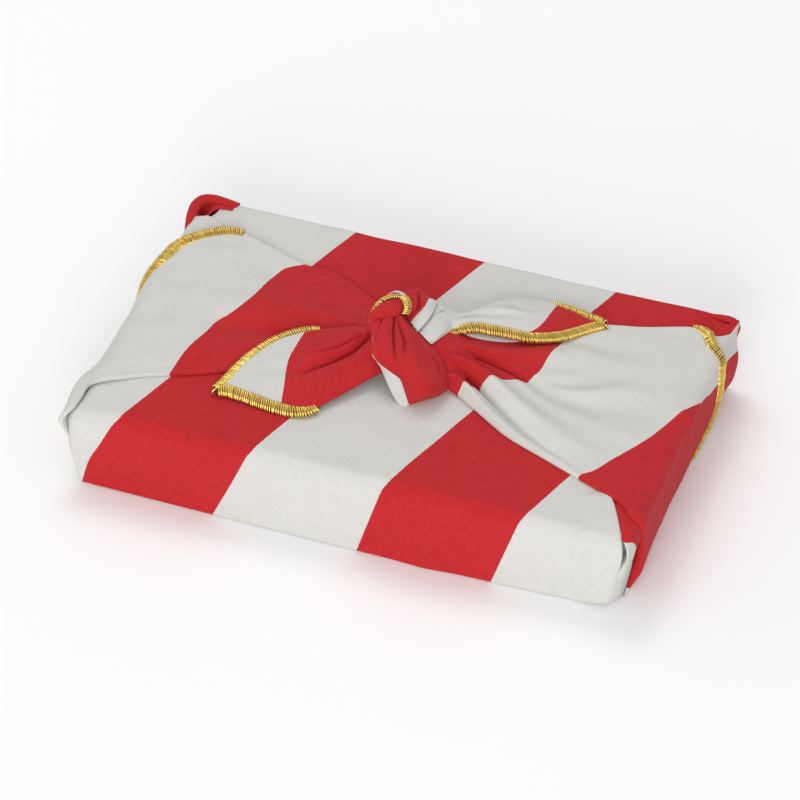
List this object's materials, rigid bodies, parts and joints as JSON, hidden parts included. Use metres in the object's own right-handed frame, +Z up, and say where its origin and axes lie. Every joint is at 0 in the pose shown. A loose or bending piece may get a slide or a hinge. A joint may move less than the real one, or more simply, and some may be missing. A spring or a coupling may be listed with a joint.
{
  "type": "furoshiki wrap",
  "caption": "Striped cotton wrapping cloth folded round a flat box-shaped parcel, its corners tied over the top in a knot with pointed tails.",
  "frame": {"origin": "middle of the underside, on the surface that the parcel lies on", "axes": "+X along the parcel's long side towards the right tail, -Y towards the front, +Z up out of the knot"},
  "size_m": [0.2446, 0.1537, 0.0593],
  "materials": {
    "cloth": "matte plain-weave cotton in wide red and off-white stripes",
    "edging": "raised gold thread, sewn across the edge"
  },
  "bodies": {
    "root": {"cloth": "cloth", "edging_left_flap": "edging", "edging_right_flap": "edging", "edging_left_tail": "edging", "edging_right_tail": "edging", "edging_knot": "edging"}
  },
  "joints": []
}
